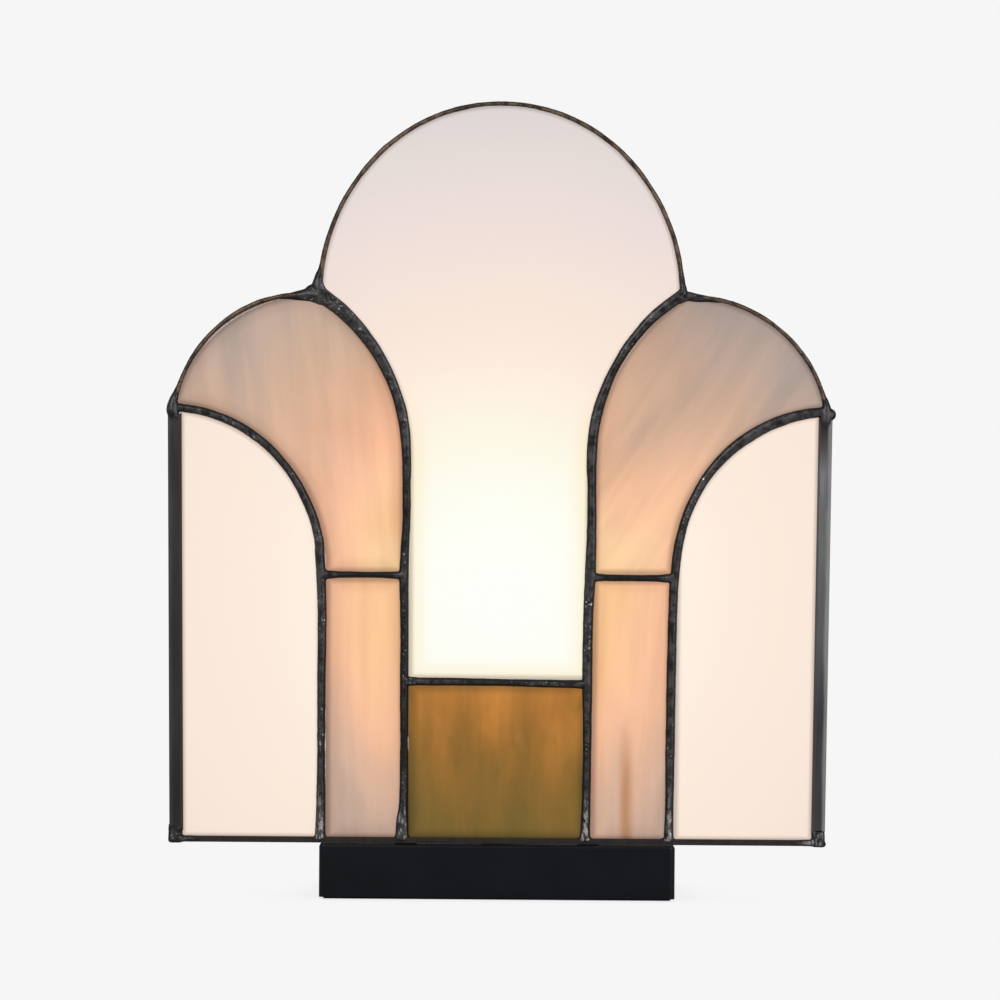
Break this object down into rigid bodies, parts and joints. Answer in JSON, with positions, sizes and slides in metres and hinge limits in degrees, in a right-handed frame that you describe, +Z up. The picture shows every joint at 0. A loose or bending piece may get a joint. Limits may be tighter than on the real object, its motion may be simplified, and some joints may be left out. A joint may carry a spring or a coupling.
{
  "type": "stained glass table lamp",
  "caption": "Table lamp: flat leaded-glass panel with a domed centre and rounded shoulders, standing on a black steel box base with a screw-in bulb behind it.",
  "frame": {"origin": "on the surface the lamp stands on, under the middle of its bounding box", "axes": "+Z up, +X to the right seen from the front, +Y to the back; the glass panel faces -Y"},
  "size_m": [0.3122, 0.1, 0.3703],
  "materials": {
    "amber_glass": "streaky amber and olive glass",
    "ballast_steel": "mill-finish steel plate",
    "black_insulator": "black glass insulator",
    "black_nylon": "nylon",
    "black_steel": "satin black powder coat",
    "blue_wire": "blue insulation",
    "brass": "turned brass",
    "brown_wire": "brown insulation",
    "channel_metal": "drawn channel, black patina",
    "clear_pink_glass": "cathedral sheet glass, pale peach, diffusing",
    "copper_foil": "copper foil, dark patina",
    "felt": "pressed felt",
    "frosted_glass": "frosted bulb glass",
    "nickel": "nickel-plated brass",
    "phenolic": "black phenolic moulding",
    "phosphor": "coated light filament",
    "porcelain": "white steatite",
    "solder": "tin-lead solder, black patina",
    "stem_glass": "clear glass",
    "streaky_glass": "streaky opalescent glass, peach and taupe",
    "tip_solder": "bright solder",
    "white_nylon": "nylon",
    "zinc_steel": "zinc-plated steel"
  },
  "bodies": {
    "lamp": {"base_ballast": "ballast_steel", "base_felt": "felt", "base_floor": "zinc_steel", "base_posts": "zinc_steel", "base_shell": "black_steel", "bracket_nuts": "zinc_steel", "bracket_screws": "zinc_steel", "channel_foot": "channel_metal", "channel_left_side": "channel_metal", "channel_right_side": "channel_metal", "cord_gland": "black_nylon", "floor_screws": "zinc_steel", "foil_arches": "copper_foil", "foil_centre_amber": "copper_foil", "foil_centre_dome": "copper_foil", "foil_columns": "copper_foil", "foil_wings": "copper_foil", "gland_nut": "black_nylon", "glass_centre_amber": "amber_glass", "glass_centre_dome": "clear_pink_glass", "glass_left_arch": "streaky_glass", "glass_left_column": "streaky_glass", "glass_left_wing": "clear_pink_glass", "glass_right_arch": "streaky_glass", "glass_right_column": "streaky_glass", "glass_right_wing": "clear_pink_glass", "holder_barrel": "phenolic", "holder_centre_contact": "brass", "holder_collar": "brass", "holder_contact_block": "porcelain", "holder_cup": "phenolic", "holder_screw_shell": "brass", "panel_brackets": "solder", "rim_dome": "solder", "rim_left_shoulder": "solder", "rim_right_shoulder": "solder", "seam_centre_sill": "solder", "seam_left_crossbar": "solder", "seam_left_inner": "solder", "seam_left_outer": "solder", "seam_right_crossbar": "solder", "seam_right_inner": "solder", "seam_right_outer": "solder", "solder_corner_joints": "solder", "solder_crotch_joints": "solder", "terminal_block": "white_nylon", "terminal_screws": "brass", "threaded_tube": "brass", "tube_nut": "brass", "tube_washer": "zinc_steel", "wire_live": "brown_wire", "wire_neutral": "blue_wire"},
    "bulb_contact": {"bulb_tip": "tip_solder"},
    "bulb": {"bulb_cap": "nickel", "bulb_filaments": "phosphor", "bulb_glass": "frosted_glass", "bulb_insulator": "black_insulator", "bulb_stem": "stem_glass"}
  },
  "joints": [
    {"name": "bulb_rise", "type": "slide", "parent": "lamp", "child": "bulb_contact", "axis": [0, 0, 1], "range_m": [0, 0.0255]},
    {"name": "bulb_turn", "type": "hinge", "parent": "bulb_contact", "child": "bulb", "pos_m": [0, 0.008, 0.07], "axis": [0, 0, 1], "range_deg": [0, 2520]}
  ],
  "couplings": [
    {"joint": "bulb_rise", "follows": "bulb_turn", "m_per_rad": 0.00057757}
  ]
}
